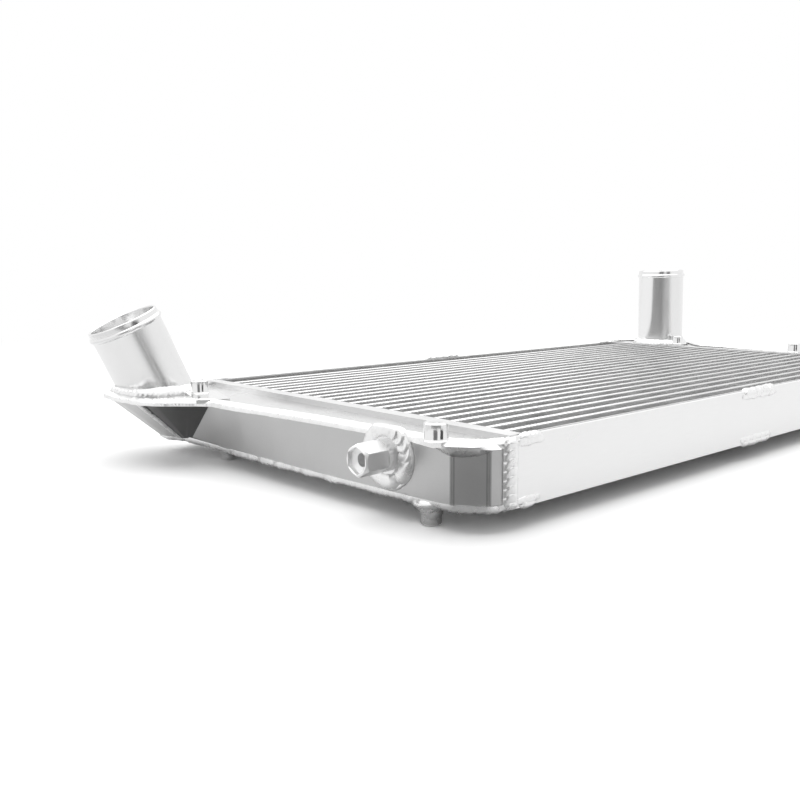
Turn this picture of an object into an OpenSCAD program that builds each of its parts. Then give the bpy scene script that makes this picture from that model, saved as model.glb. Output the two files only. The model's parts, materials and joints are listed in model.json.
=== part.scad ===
// Air to air intercooler: a tube and fin core between two welded end tanks,
// with one leaning and one upright hose pipe, threaded bosses on top and four pegs below.
// The core runs along X, the tanks lie along Y, and the pegs stand on Z = 0.

/* [Core] */
// Length of the core between its header plates
core_l = 567; // [420:1:700]
// Height of the header plates and of the tank welds, top to bottom
core_t = 41.3; // [38:0.1:60]
// Distance from one tube to the next
tube_pitch = 14.5; // [12:0.1:16]
// How many flat tubes lie side by side
tube_count = 22; // [20:1:22]
// Thickness of a flat tube across the core
tube_w = 4.8; // [3.6:0.1:6]
// Wall and web thickness of a tube
tube_wall = 0.8; // [0.5:0.1:1]
// Thickness of the fin sheet
fin_sheet = 0.5; // [0.3:0.1:0.6]
// Straight legs in one corrugated fin row
fin_legs = 54; // [20:2:60]
// Length of a header plate along the core
header_t = 10.5; // [8:0.5:14]
// Thickness of the outer side plates
side_t = 3; // [2:0.5:4]

/* [Tanks] */
// Thickness of the tank sheet
tank_sheet = 3; // [2:0.5:4]
// How far the tank's top plate lies below the top of the header
top_inset = 3.8; // [3:0.1:6]
// How far the tank's bottom plate lies above the underside of the header
bottom_inset = 1.8; // [1:0.1:4]
// Width of the long weld beads
bead_w = 8; // [5:0.5:9]
// Height of the bead along the top edge of a tank
top_bead_h = 3.4; // [2:0.1:4]
// Height of the bead along the bottom edge of a tank
bottom_bead_h = 3.8; // [2:0.1:4]
// Spacing of the lumps along a weld bead
bead_step = 7; // [6:1:14]

/* [Pipes] */
// Outside diameter of both hose pipes
pipe_d = 55; // [50:1:57]
// Wall thickness of the pipes
pipe_wall = 2; // [1.5:0.5:3]
// Lean of the inlet pipe from upright
inlet_lean = 23.4; // [18:0.2:28]
// Length of the inlet pipe along its own axis
inlet_l = 63.6; // [55:0.1:90]
// Lean of the outlet pipe from upright, towards the core
outlet_lean = 2; // [0:0.5:6]
// Length of the outlet pipe along its own axis
outlet_l = 95; // [60:1:110]

/* [Bosses and pegs] */
// Outside diameter of the threaded bosses
boss_d = 13.5; // [11:0.5:15]
// Height of a boss above its tab
boss_h = 9.5; // [8:0.5:16]
// Core diameter of the thread in a boss
thread_d = 6.8; // [5:0.1:8.5]
// Diameter of the locating pegs
peg_d = 12.4; // [10:0.2:16]
// Height of the core above the surface that the pegs stand on
peg_drop = 12.3; // [8:0.1:20]

/* [Hidden] */
TUBES = [for (i = [1 : tube_count]) str("tube_", i < 10 ? "0" : "", i)];

// Heights
core_z = peg_drop;
core_top = core_z + core_t;
tank_z = core_z + bottom_inset;
tank_top = core_top - top_inset;
mid_z = core_z + core_t / 2;

// Core sizes that follow from the tubes
core_w = (tube_count + 2) * tube_pitch;
header_rim = 1.3;
tube_h = core_t - 2 * header_rim;
fin_h = tube_h - 1.8;
end_gap = 1;
end_t = 1.5;
end_y = side_t + end_gap;
side_h = core_t - 1;
side_over = 9;
tube_seat = 6;

// Stations of the tank wall as [distance out from the core, distance along the tank].
// Both lists run from the front corner round to the rear one, in step with each other:
// the plates match along the front half, and the top plate flares out around the pipe.
rear_y = core_w - 0.5;
front_bend = [25, 4.5];
front_y = front_bend[1] * (header_t - side_over) / (front_bend[0] - side_over);
plan_low = [
  [header_t, front_y], front_bend, [38.3, 19.6], [40.6, 48], [43.2, 93], [45.8, 134], [47.6, 180],
  [48.6, 214], [49.5, 246], [49.9, 298], [50.1, 301], [50.5, 304], [51, 306.5], [52.5, 310],
  [56.5, 321], [58, 334], [54, 343], [40, 346], [26, rear_y - 1], [18, rear_y],
  [header_t, rear_y]];
plan_high = [
  [header_t, front_y], front_bend, [38.3, 19.6], [40.6, 48], [43.2, 93], [46.4, 134], [52, 180],
  [57, 214], [59.3, 243], [59.7, 246.5], [64, 251.5], [70, 258], [89, 276], [95.5, 288],
  [99.5, 322], [97.5, 345], [85, 363], [62, 373], [38, 370], [22, 360],
  [header_t, rear_y]];

// Pipes
pipe_r = pipe_d / 2;
inlet_foot = [58.8, 332.4];
outlet_foot = [65, 309.3];
inlet_turn = 169.7;
rim_to_bead = 6.5;
bead_r = 2.2;
collar_h = 7;
collar_spread = 5;
collar_edge = 1;

// Bosses, their tabs and the pegs, by the same two distances
inlet_front_at = [41.7, 28.3];
inlet_rear_at = [45, 289];
outlet_front_at = [36.6, 122];
outlet_rear_at = [48.7, 274.1];
long_tab_at = [48.8, 271];
front_peg = [33, 41.6];
rear_peg = [31, 274];
edge_break = 0.8;
peg_weld_h = 5.3;
peg_weld_w = 2.2;
tab_t = 2.4;
short_tab = [17.5, 19.2];
long_tab = [24, 52];
short_turn = -7.5;
long_turn = -18;

// Threaded port in the inlet tank wall
port_y = 68;
port_out = 41.8;
port_z = mid_z + 4.6;
port_turn = atan2(43.2 - 40.6, 93 - 48);
port_r = 7;
bung_r = 12;
bung_h = 4;
ring_w = 8.5;
ring_top = core_top + 2;
neck_r = 9.4;
neck_l = 4;
plug_af = 17.5;
plug_l = 17;
plug_chamfer = 2;
socket_af = 14;
socket_depth = 8.5;

// The origin is at the middle of the whole object's plan
inlet_reach = abs(sin(inlet_lean) * cos(inlet_turn));
x_low = -inlet_foot[0] - inlet_l * inlet_reach - pipe_r * sqrt(1 - pow(inlet_reach, 2));
x_high = core_l + 99.5;
y_low = -2.6;
y_high = 373;
mid_x = (x_low + x_high) / 2;
mid_y = (y_low + y_high) / 2;

// Puts a piece of the inlet end where it belongs
module at_inlet() { translate([-mid_x, -mid_y, 0]) children(); }

// Mirrors a piece of the inlet end to the outlet end
module at_outlet() { translate([core_l - mid_x, -mid_y, 0]) mirror([1, 0, 0]) children(); }

// Turns a distance out and a distance along into a place at the inlet end
function spot(p) = [-p[0], p[1]];

// Vector helpers for the tank outlines
function unit(v) = v / norm(v);
function side_of(v) = [v[1], -v[0]];
function heading(path, i) = let (last = len(path) - 1)
  i == 0 ? unit(path[1] - path[0])
  : i == last ? unit(path[last] - path[last - 1])
  : unit(unit(path[i + 1] - path[i]) + unit(path[i] - path[i - 1]));

// Outline moved inward by the sheet thickness, with the header end kept flat
function inward(path, t) = [for (i = [0 : len(path) - 1])
  let (n = side_of(heading(path, i)),
       mitre = n * side_of(unit(path[max(i, 1)] - path[max(i, 1) - 1])))
  i == 0 ? path[i] + [0, t]
  : i == len(path) - 1 ? path[i] - [0, t]
  : path[i] - n * t / mitre];

// Ring of wall stations at height h, part way from the low outline to the high one
function ring_at(low, high, h) = let (f = (h - tank_z) / (tank_top - tank_z))
  [for (i = [0 : len(low) - 1]) let (p = low[i] + (high[i] - low[i]) * f) [-p[0], p[1], h]];

low_in = inward(plan_low, tank_sheet);
high_in = inward(plan_high, tank_sheet);
wall_levels = [tank_z, tank_z + tank_sheet, tank_top - tank_sheet, tank_top];
stations = len(plan_low);

// Flat tube outline, thickness w and height h, with rounded noses
module tube_outline(w, h) {
  square([h - w, w], center = true);
  for (s = [-1, 1]) translate([s * (h - w) / 2, 0]) circle(d = w, $fn = 24);
}

// Section of a tube, with its four air channels
module tube_section() {
  channel_w = tube_w - 2 * tube_wall;
  channel_h = tube_h - 2 * tube_wall;
  difference() {
    tube_outline(tube_w, tube_h);
    difference() {
      tube_outline(channel_w, channel_h);
      for (k = [-1 : 1]) translate([k * channel_h / 4, 0])
        square([tube_wall, tube_w], center = true);
    }
  }
}

// Stands a section in the YZ plane and runs it along X from x0 for a length l
module along_core(x0, l) {
  translate([x0, 0, mid_z]) rotate([0, 90, 0]) linear_extrude(l) children();
}

function tube_y(i) = (i + 0.5) * tube_pitch;

module tube(i) {
  color("gainsboro") at_inlet() translate([0, tube_y(i), 0])
    along_core(-tube_seat, core_l + 2 * tube_seat) tube_section();
}

// One corrugated fin row of depth d across the core: a zigzag sheet whose crests touch both sides
module fin_row(d) {
  run = core_l / fin_legs;
  slant = fin_sheet * norm([d, run]) / run;
  outer = [for (k = [0 : fin_legs]) [k * run, k % 2 == 0 ? d : slant]];
  inner = [for (k = [fin_legs : -1 : 0]) [k * run, k % 2 == 0 ? d - slant : 0]];
  translate([0, 0, mid_z - fin_h / 2]) linear_extrude(fin_h) polygon(concat(outer, inner));
}

module fins() {
  first = end_y + end_t;
  end_depth = tube_y(1) - tube_w / 2 - first;
  color("darkgray") at_inlet() {
    translate([0, first, 0]) fin_row(end_depth);
    for (i = [1 : tube_count - 1]) translate([0, tube_y(i) + tube_w / 2, 0])
      fin_row(tube_pitch - tube_w);
    translate([0, tube_y(tube_count) + tube_w / 2, 0]) fin_row(end_depth);
  }
}

// Flat plate on edge along the core, from y0, of thickness t
module edge_plate(x0, l, y0, t, h) {
  at_inlet() translate([x0, y0, mid_z - h / 2]) cube([l, t, h]);
}

module end_sheet_front() { color("silver") edge_plate(0, core_l, end_y, end_t, side_h); }
module end_sheet_rear() {
  color("silver") edge_plate(0, core_l, core_w - end_y - end_t, end_t, side_h);
}

module side_plate_front() {
  color("whitesmoke") edge_plate(-side_over, core_l + 2 * side_over, 0, side_t, side_h);
}

module side_plate_rear() {
  color("whitesmoke")
    edge_plate(-side_over, core_l + 2 * side_over, core_w - side_t, side_t, side_h);
}

// Header plate: slotted for the tubes on the core side, with one window open to the tank
module header_plate() {
  plate_w = core_w - 2 * side_t;
  window_h = tank_top - tank_z - 2 * tank_sheet;
  window_z = (tank_top + tank_z) / 2 - mid_z;
  along_core(-tube_seat, tube_seat) difference() {
    translate([-core_t / 2, side_t]) square([core_t, plate_w]);
    for (i = [1 : tube_count]) translate([0, tube_y(i)]) tube_outline(tube_w, tube_h);
  }
  along_core(-header_t, header_t - tube_seat) difference() {
    translate([-core_t / 2, side_t]) square([core_t, plate_w]);
    translate([-window_z - window_h / 2, 2 * side_t]) square([window_h, plate_w - 2 * side_t]);
  }
}

module inlet_header() { color("silver") at_inlet() header_plate(); }
module outlet_header() { color("silver") at_outlet() header_plate(); }

// Bent wall sheet between two sets of rings, one ring pair for each level
module wall_sheet() {
  outer = [for (h = wall_levels) each ring_at(plan_low, plan_high, h)];
  inner = [for (h = wall_levels) each ring_at(low_in, high_in, h)];
  n = stations;
  top = (len(wall_levels) - 1) * n;
  m = len(outer);
  skin = [for (l = [0 : len(wall_levels) - 2], i = [0 : n - 2]) let (a = l * n + i)
    each [[a, a + 1, a + n + 1], [a, a + n + 1, a + n],
          [m + a, m + a + n + 1, m + a + 1], [m + a, m + a + n, m + a + n + 1]]];
  edges = [for (i = [0 : n - 2])
    each [[i + 1, i, m + i, m + i + 1],
          [top + i, top + i + 1, m + top + i + 1, m + top + i]]];
  ends = [for (l = [0 : len(wall_levels) - 2]) let (a = l * n)
    each [[a, a + n, m + a + n, m + a],
          [a + n - 1, m + a + n - 1, m + a + 2 * n - 1, a + 2 * n - 1]]];
  polyhedron(concat(outer, inner), concat(skin, edges, ends));
}

// Flat tank plate whose edge follows the inside of the wall from height z0 to z1
module tank_plate(z0, z1) {
  n = stations;
  points = concat(ring_at(low_in, high_in, z0), ring_at(low_in, high_in, z1));
  sides = [for (i = [0 : n - 2])
    each [[i, i + 1, i + n + 1], [i, i + n + 1, i + n]]];
  lid = [[for (i = [n - 1 : -1 : 0]) i], [for (i = [0 : n - 1]) n + i], [n - 1, 0, n, 2 * n - 1]];
  polyhedron(points, concat(sides, lid));
}

// Puts a shape on the inlet pipe's axis, with Z along the pipe from its foot
module on_inlet_axis() {
  translate([-inlet_foot[0], inlet_foot[1], tank_top])
    rotate([0, 0, inlet_turn]) rotate([0, inlet_lean, 0]) children();
}

module on_outlet_axis() {
  translate([-outlet_foot[0], outlet_foot[1], tank_top]) rotate([0, outlet_lean, 0]) children();
}

// Puts a shape on the port's axis, with Z pointing out of the wall
module on_port_axis() {
  translate([-port_out, port_y, port_z]) rotate([0, 0, 180 + port_turn]) rotate([0, 90, 0])
    children();
}

module inlet_tank_wall() {
  color("lightgray") at_inlet() difference() {
    wall_sheet();
    on_port_axis() cylinder(r = port_r, h = 4 * tank_sheet, center = true, $fn = 48);
  }
}

module inlet_tank_top() {
  color("lightgray") at_inlet() difference() {
    tank_plate(tank_top - tank_sheet, tank_top);
    on_inlet_axis() cylinder(r = pipe_r - pipe_wall, h = 6 * tank_sheet, center = true, $fn = 64);
  }
}

module inlet_tank_bottom() { color("lightgray") at_inlet() tank_plate(tank_z, tank_z + tank_sheet); }

module outlet_tank_wall() { color("lightgray") at_outlet() wall_sheet(); }

module outlet_tank_top() {
  color("lightgray") at_outlet() difference() {
    tank_plate(tank_top - tank_sheet, tank_top);
    on_outlet_axis() cylinder(r = pipe_r - pipe_wall, h = 6 * tank_sheet, center = true, $fn = 64);
  }
}

module outlet_tank_bottom() {
  color("lightgray") at_outlet() tank_plate(tank_z, tank_z + tank_sheet);
}

// Hose pipe of length l with a rolled bead under its rim, carried on below its foot
module hose_pipe(l) {
  tail = 30;
  rotate_extrude($fn = 72) difference() {
    union() {
      translate([pipe_r - pipe_wall, -tail]) square([pipe_wall, l + tail]);
      translate([pipe_r - 0.6, l - rim_to_bead]) circle(r = bead_r, $fn = 24);
    }
    translate([0, -tail]) square([pipe_r - pipe_wall, l + tail]);
  }
}

// Everything below the tank plate's top face near the pipes
module below_plate() { translate([-200, 200, tank_top - 100]) cube([300, 300, 100]); }

module inlet_pipe() {
  color("lightgray") at_inlet() difference() {
    on_inlet_axis() hose_pipe(inlet_l);
    below_plate();
  }
}

module outlet_pipe() {
  color("lightgray") at_outlet() difference() {
    on_outlet_axis() hose_pipe(outlet_l);
    below_plate();
  }
}

// Thin level slice of a shape, at height z above the tank plate
module slice_at(z) {
  intersection() {
    children();
    translate([-200, 200, tank_top + z]) cube([300, 300, 0.1]);
  }
}

// Cylinder of radius r round a pipe's axis, carried on below its foot
module sleeve(r) { cylinder(r = r, h = 120, center = true, $fn = 72); }

// Weld collar round a pipe's foot, from a wide, a narrow and a bare sleeve on its axis
module foot_collar() {
  difference() {
    hull() {
      slice_at(0) children(0);
      slice_at(collar_h - 0.1) children(1);
    }
    children(2);
  }
}

module inlet_pipe_weld() {
  color("white") at_inlet() foot_collar() {
    on_inlet_axis() sleeve(pipe_r + collar_spread);
    on_inlet_axis() sleeve(pipe_r + collar_edge);
    on_inlet_axis() sleeve(pipe_r);
  }
}

module outlet_pipe_weld() {
  color("white") at_outlet() foot_collar() {
    on_outlet_axis() sleeve(pipe_r + collar_spread);
    on_outlet_axis() sleeve(pipe_r + collar_edge);
    on_outlet_axis() sleeve(pipe_r);
  }
}

// Welded bung in the port, with its bore for the plug
module port_bung() {
  color("gainsboro") at_inlet() on_port_axis() difference() {
    cylinder(r = bung_r, h = bung_h, $fn = 48);
    translate([0, 0, -1]) cylinder(r = port_r, h = bung_h + 2, $fn = 48);
  }
}

// Hexagon bar of width af across its flats, with two corners above and below the axis
module hexagon(af, h) { rotate([0, 0, 30]) cylinder(d = af / cos(30), h = h, $fn = 6); }

// Plug: a screwed shank, a round neck and a hexagon head with a chamfered, socketed end
module port_plug() {
  corner_r = plug_af / cos(30) / 2;
  color("silver") at_inlet() on_port_axis() {
    translate([0, 0, -tank_sheet]) cylinder(r = port_r, h = bung_h + tank_sheet, $fn = 48);
    translate([0, 0, bung_h]) cylinder(r = neck_r, h = neck_l, $fn = 48);
    translate([0, 0, bung_h + neck_l]) difference() {
      intersection() {
        hexagon(plug_af, plug_l);
        cylinder(r1 = corner_r + plug_l - plug_chamfer, r2 = corner_r - plug_chamfer, h = plug_l,
          $fn = 60);
      }
      translate([0, 0, plug_l - socket_depth]) hexagon(socket_af, plug_l);
    }
  }
}

// Ring of weld metal between the bung and the tank wall, level with the top bead
module port_weld() {
  color("white") at_inlet() difference() {
    on_port_axis() rotate_extrude($fn = 72) translate([bung_r, 0])
      polygon([[0, 0], [ring_w, 0], [ring_w - 0.8, 2.4], [ring_w - 3, 4.4], [2, 4.6], [0, bung_h]]);
    translate([-2 * port_out, 0, ring_top]) cube([2 * port_out, 2 * port_y, core_t]);
  }
}

// Flat tab of size s and height t with its middle at p, lying on the tank's top plate
module tab(p, s, turn, t = tab_t) {
  translate([-p[0], p[1], tank_top]) rotate([0, 0, turn])
    translate([-s[0] / 2, -s[1] / 2, 0]) cube([s[0], s[1], t]);
}

// Threaded boss standing on its tab, with a chamfered rim
module boss(p) {
  translate([-p[0], p[1], tank_top + tab_t]) difference() {
    union() {
      cylinder(d = boss_d, h = boss_h - edge_break, $fn = 48);
      translate([0, 0, boss_h - edge_break])
        cylinder(d1 = boss_d, d2 = boss_d - 2 * edge_break, h = edge_break, $fn = 48);
    }
    translate([0, 0, 2]) cylinder(d = thread_d, h = boss_h, $fn = 32);
  }
}

// Locating peg under the tank's bottom plate, with a chamfered foot and weld metal round its top
module peg(p) {
  translate([-p[0], p[1], 0]) {
    cylinder(d1 = peg_d - 2 * edge_break, d2 = peg_d, h = edge_break, $fn = 48);
    translate([0, 0, edge_break]) cylinder(d = peg_d, h = tank_z - edge_break, $fn = 48);
    translate([0, 0, tank_z - peg_weld_h])
      cylinder(d1 = peg_d, d2 = peg_d + 2 * peg_weld_w, h = peg_weld_h, $fn = 48);
  }
}

module inlet_front_tab() { color("gainsboro") at_inlet() tab(inlet_front_at, short_tab, short_turn); }
module inlet_rear_tab() { color("gainsboro") at_inlet() tab(long_tab_at, long_tab, long_turn); }
module outlet_front_tab() {
  color("gainsboro") at_outlet() tab(outlet_front_at, short_tab, short_turn);
}
module outlet_rear_tab() {
  color("gainsboro") at_outlet() difference() {
    tab(outlet_rear_at, short_tab, short_turn);
    on_outlet_axis() sleeve(pipe_r + collar_spread);
  }
}

module inlet_front_boss() { color("silver") at_inlet() boss(inlet_front_at); }
module inlet_rear_boss() { color("silver") at_inlet() boss(inlet_rear_at); }
module outlet_front_boss() { color("silver") at_outlet() boss(outlet_front_at); }
module outlet_rear_boss() { color("silver") at_outlet() boss(outlet_rear_at); }

module inlet_front_peg() { color("silver") at_inlet() peg(front_peg); }
module inlet_rear_peg() { color("silver") at_inlet() peg(rear_peg); }
module outlet_front_peg() { color("silver") at_outlet() peg(front_peg); }
module outlet_rear_peg() { color("silver") at_outlet() peg(rear_peg); }

// Distances along a path to each of its points
function path_lengths(path, i = 1, total = 0) = i >= len(path) ? [total]
  : concat([total], path_lengths(path, i + 1, total + norm(path[i] - path[i - 1])));

// Place on a path at distance s from its start
function point_on(path, runs, s) =
  let (i = max([for (k = [0 : len(path) - 2]) runs[k] <= s ? k : 0]))
  path[i] + (path[i + 1] - path[i]) * min(1, (s - runs[i]) / (runs[i + 1] - runs[i]));

// Section of a plain bead of width w and height h, as [distance to the right, height]
function dome(w, h) = [[-w / 2, 0], [-0.36 * w, 0.7 * h], [0, h], [0.36 * w, 0.7 * h], [w / 2, 0]];

// Lumpy weld bead: a section swept along a path in the plane, smaller at every other ring
// and at both ends. A pool instead swells from its ends to its middle.
module bead(path, section, pool = false) {
  runs = path_lengths(path);
  total = runs[len(runs) - 1];
  count = max(3, ceil(total / bead_step));
  m = len(section);
  size_at = [for (k = [0 : count])
    pool ? 0.15 + 0.85 * sin(180 * k / count) : k == 0 || k == count ? 0.55 : k % 2 == 0 ? 1 : 0.86];
  points = [for (k = [0 : count])
    let (s = total * k / count,
         p = point_on(path, runs, s),
         v = unit(point_on(path, runs, min(total, s + 2)) - point_on(path, runs, max(0, s - 2))),
         n = side_of(v))
    each [for (q = section * size_at[k]) [p[0] + n[0] * q[0], p[1] + n[1] * q[0], q[1]]]];
  quads = [for (k = [0 : count - 1], i = [0 : m - 1]) let (j = (i + 1) % m, a = k * m)
    each [[a + j, a + i, a + m + j], [a + m + j, a + i, a + m + i]]];
  polyhedron(points, concat(quads,
    [[for (i = [0 : m - 1]) i], [for (i = [m - 1 : -1 : 0]) count * m + i]]));
}

// Path of the tank's edge bead, set in from the wall's outer face
function edge_path(plan) = [for (p = inward(plan, bead_w / 2 - 0.6)) spot(p)];

// Weld over the upright joint at a side plate's end, as distances towards the tank and outward.
// The front one lies over the bend of the wall, and the rear one fills the gap before the wall.
wall_fall = front_bend[1] / (front_bend[0] - side_over);
front_corner = [[-1.8, 0], [-0.8, 1.9], [2.2, 2.6], [5.6, 1.1], [8, -0.9], [8.6, -8.6 * wall_fall],
  [1.5, -1.5 * wall_fall], [1.5, -2.8], [0, -2.8], [0, 0]];
rear_corner = [[-4, 0], [-2.4, 1.3], [-0.6, 1.5], [0.8, 0.7], [1.4, -0.6], [1.4, -2.8], [0, -2.8],
  [0, 0]];

module corner_bead(section) {
  translate([-side_over, 0, mid_z]) rotate([90, 0, 0]) rotate([0, 0, 90])
    bead([[core_t / 2, 0], [-core_t / 2, 0]], section);
}

// Weld metal pooled over the tank's front bend, on its top plate and down its wall
pool_path = [[39.3, 26], [38.3, 19.6], front_bend, [19, front_y + 2.4]];
pool_section = [[-7, 0], [-4, 3], [1, 3.6], [3, 1], [2.8, -4.6], [1.6, -7.4], [0, -8], [0, 0]];

// Welds round both plates of a tank and up its corners, less the things that stand in them
module tank_welds(with_pool) {
  difference() {
    union() {
      translate([0, 0, tank_top]) bead(edge_path(plan_high), dome(bead_w, top_bead_h));
      translate([0, 0, tank_z]) mirror([0, 0, 1])
        bead(edge_path(plan_low), dome(bead_w, bottom_bead_h));
      corner_bead(front_corner);
      translate([0, core_w, 0]) mirror([0, 1, 0]) corner_bead(rear_corner);
      if (with_pool) translate([0, 0, tank_top])
        bead([for (p = pool_path) spot(p)], pool_section, pool = true);
    }
    peg(front_peg);
    translate([-header_t, side_t, core_z]) cube([header_t, core_w - 2 * side_t, core_t]);
    children();
  }
}

module inlet_tank_welds() {
  color("white") at_inlet() tank_welds(true) {
    on_inlet_axis() sleeve(pipe_r + collar_spread);
    tab(inlet_front_at, short_tab, short_turn, 20);
    tab(long_tab_at, long_tab, long_turn, 20);
    on_port_axis() cylinder(r = bung_r + ring_w, h = 12, $fn = 48);
  }
}

module outlet_tank_welds() {
  color("white") at_outlet() tank_welds(false) {
    on_outlet_axis() sleeve(pipe_r + collar_spread);
    tab(outlet_front_at, short_tab, short_turn, 20);
  }
}

// Tack weld over the top edge of the front side plate, from x0 to x1
tack_section = [[-3, 0], [-1.8, 1.3], [0.6, 1.5], [1.7, 0.2], [1.4, -4], [0, -7]];

module tack(x0, x1, size) {
  translate([0, 0, side_h / 2]) bead([[x0, 0], [x1, 0]], size * tack_section);
}

// Tacks along the top edge; the middle one lies a little nearer the inlet
module tack_row(corner_x0, corner_x1) {
  middle = core_l / 2 - 13;
  half = 24.5;
  tack(corner_x0, corner_x1, 0.7);
  tack(middle - half, middle + half, 1);
  tack(core_l - 16, core_l + 4, 0.7);
}

// All tacks of the front side plate, less the plate that they lap over
module plate_tacks() {
  translate([0, 0, mid_z]) difference() {
    union() {
      tack_row(-5, 13);
      mirror([0, 0, 1]) tack_row(-6, 10);
    }
    translate([-side_over, 0, -side_h / 2]) cube([core_l + 2 * side_over, side_t, side_h]);
  }
}

module side_plate_tacks() {
  color("white") at_inlet() {
    plate_tacks();
    translate([0, core_w, 0]) mirror([0, 1, 0]) plate_tacks();
  }
}

for (i = [1 : tube_count]) tube(i);
fins();
end_sheet_front();
end_sheet_rear();
side_plate_front();
side_plate_rear();
inlet_header();
outlet_header();
inlet_tank_wall();
inlet_tank_top();
inlet_tank_bottom();
outlet_tank_wall();
outlet_tank_top();
outlet_tank_bottom();
inlet_pipe();
outlet_pipe();
port_bung();
port_plug();
inlet_front_tab();
inlet_rear_tab();
outlet_front_tab();
outlet_rear_tab();
inlet_front_boss();
inlet_rear_boss();
outlet_front_boss();
outlet_rear_boss();
inlet_front_peg();
inlet_rear_peg();
outlet_front_peg();
outlet_rear_peg();
inlet_tank_welds();
outlet_tank_welds();
inlet_pipe_weld();
outlet_pipe_weld();
port_weld();
side_plate_tacks();
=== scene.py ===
"""Looks of a welded aluminium intercooler: sheets, weld beads, hose pipes, fins, finishes."""

import json
import math

import bpy
import numpy as np
from mathutils import Matrix, Vector
from mathutils.geometry import delaunay_2d_cdt


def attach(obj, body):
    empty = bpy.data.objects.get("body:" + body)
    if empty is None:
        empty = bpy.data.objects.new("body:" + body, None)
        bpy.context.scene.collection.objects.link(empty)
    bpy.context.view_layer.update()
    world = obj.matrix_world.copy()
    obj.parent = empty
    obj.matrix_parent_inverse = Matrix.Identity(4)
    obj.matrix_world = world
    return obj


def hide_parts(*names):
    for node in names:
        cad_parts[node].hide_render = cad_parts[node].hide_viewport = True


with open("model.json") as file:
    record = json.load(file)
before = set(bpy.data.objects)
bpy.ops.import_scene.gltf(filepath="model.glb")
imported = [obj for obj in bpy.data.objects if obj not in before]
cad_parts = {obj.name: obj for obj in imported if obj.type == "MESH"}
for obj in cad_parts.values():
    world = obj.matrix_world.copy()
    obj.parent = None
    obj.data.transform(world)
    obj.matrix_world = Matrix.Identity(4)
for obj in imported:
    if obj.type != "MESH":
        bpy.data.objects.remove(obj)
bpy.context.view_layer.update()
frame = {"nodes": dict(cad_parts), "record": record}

# Sizes in millimetres. Places are [distance out from the core, distance along the tank, height].
MM = 0.001
CORE_L = 567.0
CORE_W = 348.0
MID_X = 278.767
MID_Y = 185.2
CORE_Z = 12.3
CORE_TOP = 53.6
TANK_Z = 14.1
TANK_TOP = 49.8
MID_Z = 32.95
SHEET = 3.0
TUBE_PITCH = 14.5
TUBE_W = 4.8
FIN_H = 37.9
HEADER_T = 10.5
SIDE_OVER = 9.0
FIN_WAVES = 190
FOIL_T = 0.35
FIRST_FIN_Y = 5.5

# A tank's outline at the bottom and at the top plate. Both have the same count of corners.
LOW_OUTLINE = [
    (10.5, 0.42), (25, 4.5), (38.3, 19.6), (40.6, 48), (43.2, 93), (45.8, 134), (47.6, 180),
    (48.6, 214), (49.5, 246), (49.9, 298), (50.1, 301), (50.5, 304), (51, 306.5), (52.5, 310),
    (56.5, 321), (58, 334), (54, 343), (40, 346), (26, 346.5), (18, 347.5), (10.5, 347.5)]
HIGH_OUTLINE = [
    (10.5, 0.42), (25, 4.5), (38.3, 19.6), (40.6, 48), (43.2, 93), (46.4, 134), (52, 180),
    (57, 214), (59.3, 243), (59.7, 246.5), (64, 251.5), (70, 258), (89, 276), (95.5, 288),
    (99.5, 322), (97.5, 345), (85, 363), (62, 373), (38, 370), (22, 360), (10.5, 347.5)]

# Bends of a tank wall: radius, the most of a side that one may take, steps round it, and the two
# that were scored before bending, with the groove's depth. The faces of those two bends get painted
# shade.
BEND_R = 1.5
BEND_SHARE = 0.45
BEND_STEPS = 4
SCORED_BENDS = (1, 2)
SCORE = 0.12
# Heights at which a wall has points, and where along the tank lies its flare panel, whose sheet
# carries painted shade.
WALL_LEVELS = 15
FLARE_FROM, FLARE_TO = 297.0, 308.6

# Tank plates: their two corners at the header plate, and the gap to the wall's sheet.
PLATE_ENDS = [[HEADER_T, CORE_W - 3.5], [HEADER_T, 3.4]]
PLATE_GAP = 0.02

# Hose pipes: section, foot [out, along], lean from upright and its heading, length, rolled bead.
PIPE_R = 27.5
PIPE_WALL = 2.0
INLET_FOOT = (58.8, 332.4)
OUTLET_FOOT = (65.0, 309.3)
INLET_LEAN = math.radians(23.4)
INLET_TURN = math.radians(169.7)
OUTLET_LEAN = math.radians(2.0)
INLET_L = 63.6
OUTLET_L = 95.0
ROLL_R = 2.2
ROLL_DOWN = 6.5

# Weld beads: the section's roundness, how a ripple falls away and from where it rises to the
# next, and the width of the root as a share of the bead's.
DOME_POWER = 2.4
RIPPLE_FALL = 1.6
RIPPLE_RISE = 0.8
ROOT_SHARE = 0.9
# A tank plate's edge bead: how far in from the outline, how far below the face, and its lean.
EDGE_IN = 2.8
EDGE_SINK = 0.4
EDGE_LEAN = 0.45


# Places and meshes

UP = np.array([0, 0, 1.0])


def place_inlet(p):
    """Points [out, along, height] at the inlet end, in the row frame in millimetres."""
    p = np.asarray(p, float)
    return np.stack([-p[..., 0] - MID_X, p[..., 1] - MID_Y, p[..., 2]], -1)


def place_outlet(p):
    """The same for the outlet end, which mirrors the inlet end."""
    p = np.asarray(p, float)
    return np.stack([CORE_L + p[..., 0] - MID_X, p[..., 1] - MID_Y, p[..., 2]], -1)


TANKS = (("inlet", place_inlet), ("outlet", place_outlet))


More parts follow.
